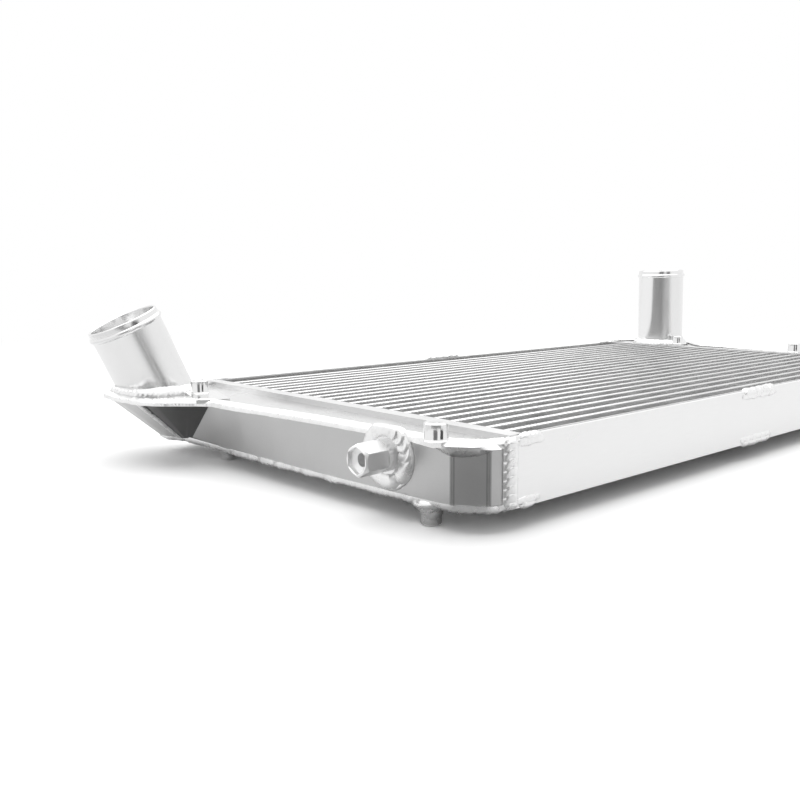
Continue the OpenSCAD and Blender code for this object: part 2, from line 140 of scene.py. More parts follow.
def add_piece(name, points, faces, material, stands_for=(), sharp=None, others=()):
    """Mesh object from points in millimetres, riding on the part's one body.

    others lists (material, face numbers) where some faces have a finish of their own.
    """
    mesh = bpy.data.meshes.new(name)
    places = (np.asarray(points, float) * MM).tolist()
    mesh.from_pydata(places, [], [list(map(int, f)) for f in faces])
    mesh.validate()
    mesh.update()
    fix_winding(mesh)
    if sharp is None:
        mesh.shade_flat()
    else:
        mesh.shade_smooth()
        mesh.set_sharp_from_angle(angle=math.radians(sharp))
    mesh.materials.append(material)
    for index, (other, numbers) in enumerate(others, 1):
        mesh.materials.append(other)
        for face in numbers:
            mesh.polygons[face].material_index = index
    piece = bpy.data.objects.new(name, mesh)
    bpy.context.scene.collection.objects.link(piece)
    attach(piece, "root")
    if stands_for:
        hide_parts(*stands_for)


def fix_winding(mesh):
    """Turns a closed mesh right side out if its volume comes out negative."""
    mesh.calc_loop_triangles()
    corners = np.empty(len(mesh.loop_triangles) * 3, np.int64)
    mesh.loop_triangles.foreach_get("vertices", corners)
    places = np.empty(len(mesh.vertices) * 3)
    mesh.vertices.foreach_get("co", places)
    a, b, c = places.reshape(-1, 3)[corners.reshape(-1, 3)].transpose(1, 0, 2)
    if np.einsum("ij,ij->i", a, np.cross(b, c)).sum() < 0:
        mesh.flip_normals()


def ring_faces(count, around):
    """Quads between successive closed rings of points."""
    return [
        (r * around + i, r * around + (i + 1) % around,
         (r + 1) * around + (i + 1) % around, (r + 1) * around + i)
        for r in range(count - 1) for i in range(around)]


def swept_solid(rings):
    """Closed solid through rings of points, with a cap at each end."""
    rings = np.asarray(rings, float)
    count, around = rings.shape[:2]
    faces = ring_faces(count, around)
    faces.append(tuple(range(around)))
    faces.append(tuple((count - 1) * around + i for i in reversed(range(around))))
    return rings.reshape(-1, 3), faces


def joined(parts):
    """One set of points and faces from several."""
    points, faces, base = [], [], 0
    for part_points, part_faces in parts:
        points.append(part_points)
        faces += [tuple(i + base for i in f) for f in part_faces]
        base += len(part_points)
    return np.concatenate(points), faces


def turned_profile(profile, count):
    """Closed solid turned about Z from a closed profile of [radius, height] points."""
    profile = np.asarray(profile, float)
    m = len(profile)
    angles = np.linspace(0, 2 * np.pi, count, endpoint=False)
    around = np.stack([np.cos(angles), np.sin(angles)], 1)
    points = np.concatenate([
        profile[None, :, 0, None] * around[:, None, :],
        np.broadcast_to(profile[None, :, 1, None], (count, m, 1))], -1)
    faces = [(a * m + i, a * m + (i + 1) % m,
              (a + 1) % count * m + (i + 1) % m, (a + 1) % count * m + i)
             for a in range(count) for i in range(m)]
    return points.reshape(-1, 3), faces


def rounded_outline(outline):
    """Outline whose inner corners are cut by short curves, with the same count for any outline.

    A sheet that was scored before it was bent has a fine groove in the middle of the bend.
    """
    outline = np.asarray(outline, float)
    result = [outline[0]]
    for k, (before, corner, after) in enumerate(zip(outline[:-2], outline[1:-1], outline[2:]), 1):
        start, end = (
            corner + arm / np.linalg.norm(arm) * min(BEND_R, BEND_SHARE * np.linalg.norm(arm))
            for arm in (before - corner, after - corner))
        inward = (start + end) / 2 - corner
        inward = inward / np.linalg.norm(inward) * (SCORE if k in SCORED_BENDS else 0)
        for step, t in enumerate(np.linspace(0, 1, BEND_STEPS + 1)):
            groove = inward if step == BEND_STEPS // 2 else 0
            result.append(start * (1 - t) ** 2 + corner * 2 * t * (1 - t) + end * t ** 2 + groove)
    result.append(outline[-1])
    return np.array(result)


def headings(path):
    """Unit direction at each point of a path."""
    step = np.gradient(path, axis=0)
    return step / np.linalg.norm(step, axis=1)[:, None]


def spaced(path, step):
    """Path with points every step along it, and their distances from its start."""
    path = np.asarray(path, float)
    runs = np.concatenate([[0], np.cumsum(np.linalg.norm(np.diff(path, axis=0), axis=1))])
    s = np.linspace(0, runs[-1], max(4, int(round(runs[-1] / step)) + 1))
    return np.stack([np.interp(s, runs, path[:, i]) for i in range(path.shape[1])], 1), s


# Finishes

MILD_GRAIN = (900, 900, 900)
BRUSHED_GRAIN = (60, 2500, 2500)
FOIL_GRAIN = (500, 90, 500)


def new_group(name, inputs, outputs):
    """Shader node group with named sockets; returns its tree, input node and output node."""
    tree = bpy.data.node_groups.new(name, "ShaderNodeTree")
    for socket, kind, default in inputs:
        item = tree.interface.new_socket(name=socket, in_out="INPUT", socket_type=kind)
        item.default_value = default
    for socket, kind in outputs:
        tree.interface.new_socket(name=socket, in_out="OUTPUT", socket_type=kind)
    return tree, tree.nodes.new("NodeGroupInput"), tree.nodes.new("NodeGroupOutput")


def math_node(tree, operation, *values):
    """Math node fed by numbers or sockets; returns its output socket."""
    node = tree.nodes.new("ShaderNodeMath")
    node.operation = operation
    for socket, value in zip(node.inputs, values):
        if isinstance(value, (int, float)):
            socket.default_value = value
        else:
            tree.links.new(value, socket)
    return node.outputs[0]


def surface_noise_group():
    """Soft cloudy stain and a fine grain, stretched by a scale for each axis."""
    tree, given, result = new_group(
        "sheet surface",
        [("Stain scale", "NodeSocketFloat", 30.0),
         ("Grain scale", "NodeSocketVector", (900.0, 900.0, 900.0)),
         ("Stain amount", "NodeSocketFloat", 0.1), ("Grain amount", "NodeSocketFloat", 0.1),
         ("Color", "NodeSocketColor", (0.7, 0.7, 0.7, 1))],
        [("Color", "NodeSocketColor"), ("Mask", "NodeSocketFloat"), ("Height", "NodeSocketFloat")])
    place = tree.nodes.new("ShaderNodeTexCoord")
    stain = tree.nodes.new("ShaderNodeTexNoise")
    stain.inputs["Detail"].default_value = 3.0
    stain.inputs["Roughness"].default_value = 0.55
    tree.links.new(place.outputs["Object"], stain.inputs["Vector"])
    tree.links.new(given.outputs["Stain scale"], stain.inputs["Scale"])
    stretch = tree.nodes.new("ShaderNodeVectorMath")
    stretch.operation = "MULTIPLY"
    tree.links.new(place.outputs["Object"], stretch.inputs[0])
    tree.links.new(given.outputs["Grain scale"], stretch.inputs[1])
    grain = tree.nodes.new("ShaderNodeTexNoise")
    grain.inputs["Scale"].default_value = 1.0
    grain.inputs["Detail"].default_value = 2.0
    tree.links.new(stretch.outputs[0], grain.inputs["Vector"])
    stain_part, grain_part = (
        math_node(tree, "MULTIPLY", math_node(tree, "SUBTRACT", noise.outputs["Fac"], 0.5),
                  given.outputs[amount])
        for noise, amount in ((stain, "Stain amount"), (grain, "Grain amount")))
    level = math_node(tree, "ADD", math_node(tree, "ADD", stain_part, grain_part), 1.0)
    shade = tree.nodes.new("ShaderNodeVectorMath")
    shade.operation = "SCALE"
    tree.links.new(given.outputs["Color"], shade.inputs[0])
    tree.links.new(level, shade.inputs["Scale"])
    tree.links.new(shade.outputs[0], result.inputs["Color"])
    tree.links.new(stain.outputs["Fac"], result.inputs["Mask"])
    tree.links.new(grain.outputs["Fac"], result.inputs["Height"])
    return tree


SHEET_SURFACE = surface_noise_group()


def metal(name, shade, rough, stain=0.1, stain_scale=30.0, grain=0.06, grain_scale=MILD_GRAIN,
          bump=0.02, rough_swing=0.12, metallic=1.0):
    """Bare aluminium finish from the shared sheet surface, with its own values. Bump is in mm."""
    material = bpy.data.materials.new(name)
    material.use_nodes = True
    tree = material.node_tree
    shader = tree.nodes["Principled BSDF"]
    surface = tree.nodes.new("ShaderNodeGroup")
    surface.node_tree = SHEET_SURFACE
    surface.inputs["Stain scale"].default_value = stain_scale
    surface.inputs["Grain scale"].default_value = grain_scale
    surface.inputs["Stain amount"].default_value = stain
    surface.inputs["Grain amount"].default_value = grain
    surface.inputs["Color"].default_value = (shade, shade, shade, 1)
    tree.links.new(surface.outputs["Color"], shader.inputs["Base Color"])
    swing = tree.nodes.new("ShaderNodeMapRange")
    swing.inputs["From Min"].default_value = 0.3
    swing.inputs["From Max"].default_value = 0.7
    swing.inputs["To Min"].default_value = max(0.03, rough - rough_swing / 2)
    swing.inputs["To Max"].default_value = rough + rough_swing / 2
    tree.links.new(surface.outputs["Mask"], swing.inputs["Value"])
    tree.links.new(swing.outputs["Result"], shader.inputs["Roughness"])
    relief = tree.nodes.new("ShaderNodeBump")
    relief.inputs["Strength"].default_value = 1.0
    relief.inputs["Distance"].default_value = bump * MM
    tree.links.new(surface.outputs["Height"], relief.inputs["Height"])
    tree.links.new(relief.outputs["Normal"], shader.inputs["Normal"])
    shader.inputs["Metallic"].default_value = metallic
    return material


tank_finish = metal("satin tank sheet", 0.55, 0.33, stain=0.2, stain_scale=22.0, grain=0.05)
top_finish = metal("bright tank plate", 0.74, 0.26, stain=0.1, stain_scale=22.0, grain=0.05)
# The scored bends get this darker copy of the tank sheet: painted shade along the folds.
bend_painted_shade_finish = metal("bend with painted shade", 0.34, 0.36, stain=0.25, stain_scale=60.0, grain=0.08)
# The flare panel gets this near-black copy of the tank sheet: painted shade, standing for the
# shadowed floor under the tank that it reflects.
flare_painted_shade_finish = metal("flare sheet with painted shade", 0.14, 0.1, stain=0.3, stain_scale=40.0, grain=0.1,
                     rough_swing=0.04)
plate_finish = metal("brushed side plate", 0.9, 0.3, stain=0.05, stain_scale=12.0,
                     grain_scale=BRUSHED_GRAIN, rough_swing=0.06)
header_finish = metal("milled header plate", 0.76, 0.3, stain=0.08)
weld_finish = metal("bright weld metal", 0.9, 0.3, stain=0.25, stain_scale=160.0, grain=0.12,
                    bump=0.06)
pipe_finish = metal("polished pipe", 0.83, 0.2, stain=0.05, stain_scale=25.0, grain=0.05,
                    rough_swing=0.02)
machined_finish = metal("turned aluminium", 0.84, 0.2, stain=0.06, grain=0.05)
boss_finish = metal("polished boss", 0.84, 0.13, stain=0.04, grain=0.04)
plug_finish = metal("turned plug", 0.86, 0.32, stain=0.06, grain=0.05, metallic=0.5)
# A lighter copy of the plug's finish for its end: painted light.
plug_end_painted_light_finish = metal("plug end with painted light", 0.97, 0.42, stain=0.04, grain=0.04)
tube_finish = metal("flat tube", 0.74, 0.25, stain=0.06, stain_scale=60.0)
# The foil's grey is set well below the tubes' as painted shade down in the rows between them.
fin_painted_shade_finish = metal("fin foil with painted shade", 0.52, 0.36, stain=0.5, stain_scale=60.0, grain=0.3,
                   grain_scale=FOIL_GRAIN)
core_sheet_finish = metal("core end sheet", 0.8, 0.32, stain=0.08)

FINISH_OF_SLOT = {
    "tube": tube_finish, "fin": fin_painted_shade_finish, "core_sheet": core_sheet_finish,
    "side_plate": plate_finish, "header": header_finish, "tank_sheet": tank_finish,
    "pipe": pipe_finish, "machined": machined_finish, "plug": machined_finish, "weld": weld_finish}


def finish_cad_nodes():
    """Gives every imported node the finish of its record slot."""
    for entry in frame["record"]["subparts"]:
        materials = frame["nodes"][entry["node"]].data.materials
        materials.clear()
        materials.append(FINISH_OF_SLOT[entry["material_slot"]])


finish_cad_nodes()


# Tank walls

def inward_outline(outline, t):
    """Outline moved inward by t, with its two header ends kept flat."""
    v = headings(outline)
    n = np.stack([v[:, 1], -v[:, 0]], 1)
    moved = outline - n * t
    moved[0] = outline[0] + [0, t]
    moved[-1] = outline[-1] - [0, t]
    return moved


LOW_ROUND = rounded_outline(LOW_OUTLINE)
HIGH_ROUND = rounded_outline(HIGH_OUTLINE)


def wall_solid(place):
    """Bent tank wall between the two rounded outlines, with its sheet thickness.

    Also lists the faces of the flare panel and those of the scored bends, both of which get painted
    shade.
    """
    inside = inward_outline(LOW_ROUND, SHEET), inward_outline(HIGH_ROUND, SHEET)
    sheets = []
    for low, high in ((LOW_ROUND, HIGH_ROUND), inside):
        rings = []
        for f in np.linspace(0, 1, WALL_LEVELS):
            z = TANK_Z + (TANK_TOP - TANK_Z) * f
            rings.append(np.column_stack([low + (high - low) * f, np.full(len(low), z)]))
        sheets.append(np.array(rings))
    rings = np.concatenate([sheets[0], sheets[1][:, ::-1]], 1)
    count, around = rings.shape[:2]
    n = len(LOW_ROUND)
    faces = ring_faces(count, around)
    for ring in (0, count - 1):
        for i in range(n - 1):
            quad = (ring * around + i, ring * around + i + 1,
                    ring * around + around - 2 - i, ring * around + around - 1 - i)
            faces.append(quad if ring else tuple(reversed(quad)))
    bend_starts = [1 + (bend - 1) * (BEND_STEPS + 1) for bend in SCORED_BENDS]
    flare, bends = [], []
    for number, face in enumerate(faces):
        spots = [i % around for i in face]
        if max(spots) >= n:
            continue
        if FLARE_FROM < LOW_ROUND[spots, 1].mean() < FLARE_TO:
            flare.append(number)
        if any(first <= min(spots) and max(spots) <= first + BEND_STEPS for first in bend_starts):
            bends.append(number)
    return place(rings.reshape(-1, 3)), faces, flare, bends


for side, place in TANKS:
    # The flare panel and the scored bends take darker copies of the sheet as painted shade.
    points, faces, flare, bends = wall_solid(place)
    add_piece(f"{side}_bent_wall", points, faces, tank_finish,
              [f"{side}_tank_wall"], sharp=14,
              others=[(flare_painted_shade_finish, flare), (bend_painted_shade_finish, bends)])


def flat_plate(outline, hole, z0, z1):
    """Level plate between two heights, with an outline and, if given, a round or oval hole."""
    rim = [Vector(p) for p in outline]
    loops = [list(range(len(rim)))]
    if hole is not None:
        loops.append(list(range(len(rim), len(rim) + len(hole))))
        rim += [Vector(p) for p in hole]
    edges = [(loop[i], loop[(i + 1) % len(loop)]) for loop in loops for i in range(len(loop))]
    spots, _, triangles, *_ = delaunay_2d_cdt(rim, edges, [], 1, 1e-5)
    spots = np.array([tuple(p) for p in spots])
    if hole is not None:
        centre = np.mean(hole, 0)
        reach = np.linalg.norm(np.asarray(hole) - centre, axis=1).min() * 0.9
        triangles = [t for t in triangles
                     if np.linalg.norm(spots[list(t)].mean(0) - centre) > reach]
    n = len(spots)
    points = np.concatenate([np.column_stack([spots, np.full(n, z)]) for z in (z0, z1)])
    faces = [tuple(reversed(t)) for t in triangles] + [tuple(i + n for i in t) for t in triangles]
    sides = [side for t in triangles for side in zip(t, (*t[1:], t[0]))]
    shared = set(sides)
    faces += [(a, b, b + n, a + n) for a, b in sides if (b, a) not in shared]
    return points, faces


def tank_plates(side, place):
    """Top plate with the pipe's opening, and bottom plate."""
    foot, axis, _ = pipe_axis(side)
    a = np.linspace(0, 2 * np.pi, 64, endpoint=False)
    circle = np.column_stack([np.cos(a), np.sin(a), np.zeros(len(a))])
    hole = on_axis(circle * (PIPE_R - PIPE_WALL), foot, axis)
    level_cut(hole, axis, np.ones(len(a), bool), TANK_TOP)
    for level, outline, opening, z0, z1 in (
            ("top", HIGH_ROUND, hole[:, :2], TANK_TOP - SHEET, TANK_TOP),
            ("bottom", LOW_ROUND, None, TANK_Z, TANK_Z + SHEET)):
        inside = inward_outline(outline, SHEET + PLATE_GAP)[1:-1]
        flat = np.concatenate([PLATE_ENDS, inside])
        rim = place(np.column_stack([flat, np.zeros(len(flat))]))[:, :2]
        points, faces = flat_plate(rim, opening, z0, z1)
        add_piece(f"{side}_{level}_plate", points, faces, top_finish,
                  [f"{side}_tank_{level}"], sharp=30)


# Weld beads

def evenly(values, count):
    """Direction vectors given along a path, or one for all of it, spread over count points."""
    values = np.asarray(values, float)
    if values.ndim == 1:
        return np.repeat(values[None], count, 0)
    given = np.linspace(0, 1, len(values))
    wanted = np.linspace(0, 1, count)
    return np.stack([np.interp(wanted, given, values[:, i]) for i in range(3)], 1)


def bead(path, across, up, width, height, pitch=3.0, ripple=0.25, bulge=0.9, smooth_side=0.0,
         wobble=0.06, seed=1, step=0.6, columns=11, sink=0.5, taper=3.0):
    """Weld bead laid along a path, ripple over ripple, each bulging the way the torch went.

    across and up are the section's axes at the points of the path. ripple is the depth of the
    steps, as a number or as a function of the fraction of the way. smooth_side flattens the
    ripples towards the +across side. sink is how far its root lies under the path, and taper the
    length over which it dies out at each end.
    """
    path, s = spaced(path, step)
    across = evenly(across, len(s))
    up = evenly(up, len(s))
    rng = np.random.RandomState(seed)
    q = np.linspace(-1, 1, columns)
    phase = (s[:, None] - bulge * pitch * (1 - q[None, :] ** 2)) / pitch + bulge + 1
    index = np.floor(phase).astype(int)
    rise = phase - index
    lumps = 1 + wobble * rng.uniform(-1, 1, index.max() + 3)
    fraction = s / s[-1]
    depth = ripple(fraction) if callable(ripple) else np.full(len(s), ripple)
    depth = depth[:, None] * np.clip(1 - smooth_side * (q[None, :] + 1) / 2, 0, 1)
    dome = np.clip(1 - np.abs(q) ** DOME_POWER, 0, 1) ** 0.5
    ends = np.clip(np.minimum(s, s[-1] - s) / taper, 0, 1) ** 0.5
    dip = (1 - rise) ** RIPPLE_FALL
    dip += np.clip((rise - RIPPLE_RISE) / (1 - RIPPLE_RISE), 0, 1) ** 2
    lump = lumps[index] * (1 - rise) + lumps[index + 1] * rise
    tall = height * dome[None, :] * lump * (1 - depth * dip) * ends[:, None]
    sway = np.interp(s, np.linspace(0, s[-1], len(lumps)), lumps)
    side = q[None, :] * width / 2 * sway[:, None] * (0.5 + 0.5 * ends[:, None])
    top = path[:, None] + across[:, None] * side[..., None] + up[:, None] * tall[..., None]
    root = across[:, None] * (side[:, ::-1] * ROOT_SHARE)[..., None]
    base = path[:, None] + root - up[:, None] * sink
    return swept_solid(np.concatenate([top, base[:, 1:-1]], 1))


def leaning(out, up, angle):
    """The across and up axes of a bead that leans from up towards out by an angle."""
    return (out * math.cos(angle) - up * math.sin(angle),
            out * math.sin(angle) + up * math.cos(angle))


def edge_bead(outline, z, direction, **look):
    """Bead along a tank plate's edge, leaning outward over the wall's corner."""
    path, _ = spaced(inward_outline(outline, EDGE_IN), 0.6)
    v = headings(path)
    out = np.column_stack([v[:, 1], -v[:, 0], np.zeros(len(v))])
    up = np.array([0, 0, direction], float)
    line = np.column_stack([path, np.full(len(path), z - direction * EDGE_SINK)])
    return bead(line, *leaning(out, up, EDGE_LEAN), **look)


def corner_beads():
    """Upright beads where the side plates end at a tank."""
    low, high = CORE_Z + 0.3, CORE_TOP - 0.4
    out, along = SIDE_OVER + 3.4, 0.55
    front = bead([[out, along, low], [out, along, high]], [-0.98, -0.2, 0], [0.2, -0.98, 0],
                 9.8, 3.0, pitch=5.0, ripple=0.42, bulge=0.75, smooth_side=1.1, seed=9,
                 columns=17, step=0.3, wobble=0.05, sink=1.5)
    out, along = SIDE_OVER + 0.9, CORE_W - 0.4
    rear = bead([[out, along, low], [out, along, high]], [1, 0, 0], [0, 1, 0],
                6, 1.6, pitch=4.6, ripple=0.4, seed=12)
    return [front, rear]


def weld_pool():
    """Weld metal pooled over the tank's front bend, with its skirt hanging down the wall."""
    stations = [[39.9, 29.5], [39.0, 23.5], [38.3, 19.6], [33.8, 14.5], [29.4, 9.5], [25, 4.5],
                [21.5, 3.5]]
    path, s = spaced(stations, 0.7)
    v = headings(path)
    out = np.column_stack([v[:, 1], -v[:, 0]])
    t = s / s[-1]
    swell = np.sin(np.pi * np.clip(t, 0, 1)) ** 0.55
    skirt = 1.0 + 6.2 * swell * (1 - 0.25 * t)
    notch = 1 - 0.55 * np.exp(-((t - 0.62) / 0.05) ** 2)
    # Sections of [out, height] points: the lip lies on the plate, the drop hangs outside it by
    # shares of the skirt, and one last point closes the root.
    lip = [(-8.0, 0.2), (-6.0, 2.0), (-3.5, 2.9), (-1.0, 2.9), (0.6, 1.8), (1.2, 0.2)]
    drop = [(1.9, 0.25), (2.1, 0.55), (1.6, 0.85), (0.3, 1.0), (-1.2, 1.0)]
    rings = []
    for i in range(len(path)):
        section = [(a * (0.35 + 0.65 * swell[i]), 0.3 + h * swell[i] * (notch[i] if a < -1 else 1))
                   for a, h in lip]
        section += [(a, -share * skirt[i]) for a, share in drop]
        section.append((-7.0, -1.0))
        rings.append([[path[i, 0] + out[i, 0] * a, path[i, 1] + out[i, 1] * a, TANK_TOP + h]
                      for a, h in section])
    return swept_solid(rings)


def flare_bead():
    """Thin bead down the fold where the flare's sloping plate meets its side panel."""
    line = [[95.6, 288.5, TANK_TOP - 1.0], [74.2, 299.2, 32.0], [52.8, 310.0, TANK_Z + 0.5]]
    return bead(line, [0.55, 0.83, 0], [0.62, -0.41, -0.67], 4.4, 1.7, pitch=2.2, ripple=0.3,
                seed=17, wobble=0.12, sink=1.2)


for side, place in TANKS:
    parts = [
        flare_bead(),
        edge_bead(HIGH_ROUND, TANK_TOP, 1, width=8.4, height=3.0,
                  ripple=lambda t: 0.1 + 0.25 * t, pitch=2.6, seed=3),
        edge_bead(LOW_ROUND, TANK_Z, -1, width=8.2, height=3.4,
                  ripple=0.16, pitch=5.0, wobble=0.16, seed=5),
        *corner_beads()]
    if side == "inlet":
        parts.append(weld_pool())
    points, faces = joined(parts)
    add_piece(f"{side}_edge_beads", place(points), faces, weld_finish,
              [f"{side}_tank_welds"], sharp=50)


def side_tacks():
    """Short tacks that lap over the edges of both side plates, each with a skirt on the plate."""
    rise = 20.15
    middle = CORE_L / 2 - 13
    # Distances along the core, which edge (1 top, -1 bottom), size and seed.
    spots = [(-5, 13, 1, 0.8, 21), (-6, 10, -1, 0.7, 22), (middle - 24.5, middle + 24.5, 1, 1, 23),
             (middle - 24.5, middle + 20, -1, 0.9, 24), (CORE_L - 16, CORE_L + 4, 1, 0.8, 25),
             (CORE_L - 16, CORE_L + 4, -1, 0.7, 26)]
    parts = []
    for y, front in ((0.6, -1.0), (CORE_W - 0.6, 1.0)):
        out = np.array([0, front, 0])
        skirt_y = y + front * 0.9
        for x0, x1, way, size, seed in spots:
            z = MID_Z + way * rise
            up = np.array([0, 0, float(way)])
            line = [[-x0, y, z - way * 0.6], [-x1, y, z - way * 0.6]]
            parts.append(bead(line, out * 0.75 - up * 0.66, out * 0.66 + up * 0.75,
                              6.5 * size, 2.6 * size, pitch=4.0, ripple=0.2, wobble=0.15,
                              seed=seed, sink=0.2, taper=5))
            skirt = [[-x0 + 2, skirt_y, z - way * 3.6], [-x1 - 2, skirt_y, z - way * 3.6]]
            parts.append(bead(skirt, up, out, 6.0 * size, 0.9 * size, pitch=6, ripple=0.15,
                              wobble=0.2, seed=seed + 10, sink=0.9, taper=6))
    points, faces = joined(parts)
    add_piece("side_plate_tack_beads", place_inlet(points), faces, weld_finish,
              ["side_plate_tacks"], sharp=50)


side_tacks()


# Hose pipes

def pipe_axis(side):
    """Foot, direction and length of a pipe, in millimetres in the row frame."""
    if side == "inlet":
        foot = place_inlet([*INLET_FOOT, TANK_TOP])
        axis = np.array([math.sin(INLET_LEAN) * math.cos(INLET_TURN),
                         math.sin(INLET_LEAN) * math.sin(INLET_TURN), math.cos(INLET_LEAN)])
        return foot, axis, INLET_L
    foot = place_outlet([*OUTLET_FOOT, TANK_TOP])
    return foot, np.array([-math.sin(OUTLET_LEAN), 0, math.cos(OUTLET_LEAN)]), OUTLET_L


def on_axis(points, foot, axis):
    """Points made about Z, moved so that Z runs along the axis from the foot."""
    turn = np.array(Vector((0, 0, 1)).rotation_difference(Vector(axis)).to_matrix())
    return points @ turn.T + foot


def level_cut(points, axis, mask, z):
    """Slides the masked points along the axis until they lie at height z."""
    points[mask] -= axis * ((points[mask, 2] - z) / axis[2])[:, None]


def hose_pipe(side):
    """Pipe with a rolled bead under a rounded rim, its foot in the tank plate."""
    foot, axis, length = pipe_axis(side)
    r, w = PIPE_R, PIPE_WALL
    bead_at = length - ROLL_DOWN
    roll = [(r - 0.6 + ROLL_R * math.cos(a), bead_at + ROLL_R * math.sin(a))
            for a in np.linspace(-1.25, 1.25, 12)]
    rim = [(r - w / 2 + w / 2 * math.cos(a), length - w / 2 + w / 2 * math.sin(a))
           for a in np.linspace(0, math.pi, 9)]
    profile = [(r, 0.0), (r, bead_at - 2.6), (r + 0.1, bead_at - 2.25), *roll,
               (r + 0.1, bead_at + 2.25), *rim, (r - w, 0.0)]
    points, faces = turned_profile(profile, 144)
    low = points[:, 2] < 0.01
    points = on_axis(points, foot, axis)
    level_cut(points, axis, low, TANK_TOP - 1.0)
    add_piece(f"{side}_hose_pipe", points, faces, pipe_finish, [f"{side}_pipe"], sharp=40)


def pipe_collar(side):
    """Thick rippled weld round a pipe's foot."""
    foot, axis, _ = pipe_axis(side)
    a = np.linspace(0, 2 * np.pi + 0.12, 260)
    circle = np.column_stack([np.cos(a), np.sin(a), np.zeros(len(a))])
    wall = on_axis(circle * (PIPE_R + 1.6), foot, axis)
    level_cut(wall, axis, np.ones(len(wall), bool), TANK_TOP + 2.2)
    out = wall - [foot[0], foot[1], 0]
    out[:, 2] = 0
    out /= np.linalg.norm(out, axis=1)[:, None]
    points, faces = bead(wall, *leaning(out, UP, math.radians(58)), 11.0, 3.8, pitch=3.4,
                         ripple=0.2, seed=31, wobble=0.1, sink=1.6, taper=1)
    add_piece(f"{side}_pipe_collar", points, faces, weld_finish, [f"{side}_pipe_weld"],
              sharp=50)


for side, place in TANKS:
    tank_plates(side, place)
    hose_pipe(side)
    pipe_collar(side)


# Port with its bung, plug and weld ring

PORT_MIDDLE = place_inlet([41.8, 68, MID_Z + 4.6])
PORT_TURN = math.atan2(43.2 - 40.6, 93 - 48)
PORT_OUT = np.array([-math.cos(PORT_TURN), -math.sin(PORT_TURN), 0])
PORT_RIGHT = np.array([math.sin(PORT_TURN), -math.cos(PORT_TURN), 0])
RING_R = 15.2
BAND_R = 19.4


def at_port(points):
    """Points [right, up, out] seen from outside the tank, moved onto the port."""
    points = np.asarray(points, float)
    return (PORT_MIDDLE + points[..., 0:1] * PORT_RIGHT + points[..., 1:2] * UP
            + points[..., 2:3] * PORT_OUT)


def port_ring():
    """Heavy weld ring round the bung, with deep crescents where it runs down its right side."""
    a = np.radians(np.linspace(-215, 150, 300))
    radial = np.column_stack([np.sin(a), np.cos(a), np.zeros(len(a))])
    across = at_port(radial) - PORT_MIDDLE

    def crescents(t):
        angle = np.degrees(a[0] + t * (a[-1] - a[0]))
        return 0.04 + 0.36 * np.exp(-((angle - 62) / 34.0) ** 4)

    ring = bead(at_port(radial * RING_R + [0, 0, 0.2]), across, PORT_OUT, 11.0, 4.3, pitch=5.2,
                ripple=crescents, bulge=0.8, seed=41, columns=21, step=0.35, wobble=0.03,
                sink=1.5, taper=4)
    band = bead(at_port(radial * BAND_R), across, PORT_OUT, 3.4, 1.5, pitch=9, ripple=0.08,
                seed=42, wobble=0.12, sink=1.2)
    points, faces = joined([ring, band])
    # The ring's top is pressed down softly, so that it stays below the core's.
    bend, give = CORE_TOP - 0.5, 2.4
    over = np.maximum(points[:, 2] - bend, 0)
    points[:, 2] = np.minimum(points[:, 2], bend) + give * (1 - np.exp(-over / give))
    add_piece("port_weld_ring", points, faces, weld_finish, ["port_weld"], sharp=50)


def port_bung():
    """Round bung with a broken outer edge."""
    points, faces = turned_profile([(12, 0), (12, 2.4), (11.3, 3.0), (7, 3.0), (7, 0)], 96)
    add_piece("welded_bung", at_port(points), faces, machined_finish, ["port_bung"],
              sharp=30)


def hexagon_radius(angles, af, corner=0.9):
    """Distance from the axis to a hexagon's slightly rounded outline, corners above and below."""
    flat = np.abs((angles + math.pi / 6) % (math.pi / 3) - math.pi / 6)
    reach = af / 2 / np.cos(flat)
    return np.minimum(reach, af / 2 / math.cos(math.pi / 6) - corner * 0.16)


def around_axis(rings, a):
    """Rings of points at the angles a, from (radius, height) pairs that may vary with the angle."""
    full = [(np.broadcast_to(r, len(a)), np.broadcast_to(h, len(a))) for r, h in rings]
    return np.array([np.column_stack([r * np.cos(a), r * np.sin(a), h]) for r, h in full])


def hexagon_plug():
    """Plug with a round neck and a long hexagon, chamfered and socketed at its end."""
    count = 144
    a = np.linspace(0, 2 * np.pi, count, endpoint=False)
    af, neck_r = 17.5, 9.4
    base, end = 8.0, 25.0
    outer = hexagon_radius(a, af)
    crown = af / 2 / math.cos(math.pi / 6) - 2.0
    socket = hexagon_radius(a, 14.0, 0.4)
    cut = end - np.maximum(0, outer - crown)
    rings = [(7.0, 1.0), (7.0, 3.0), (neck_r, 3.0), (neck_r, base), (outer, base), (outer, cut),
             (np.minimum(outer, crown), end), (socket + 0.25, end), (socket, end - 0.4),
             (socket, end - 3.2), (4.0, end - 4.6), (4.0, end - 12), (0.4, end - 12.2)]
    # The chamfer, end face and socket take the lighter copy of the finish: painted light.
    first_painted_light_ring, last_painted_light_ring = 5, 9
    points, faces = swept_solid(around_axis(rings, a))
    bright = [k for k in range(len(faces)) if first_painted_light_ring <= k // count <= last_painted_light_ring]
    add_piece("hexagon_plug", at_port(points), faces, plug_finish, ["port_plug"],
              sharp=22, others=[(plug_end_painted_light_finish, bright)])


port_ring()
port_bung()
hexagon_plug()


# Bosses and pegs

BOSSES = {"inlet_front": (41.7, 28.3), "inlet_rear": (45.0, 289.0), "outlet_front": (36.6, 122.0),
          "outlet_rear": (48.7, 274.1)}
PEGS = {"front_peg": (33.0, 41.6), "rear_peg": (31.0, 274.0)}
TAB_TOP = TANK_TOP + 2.4


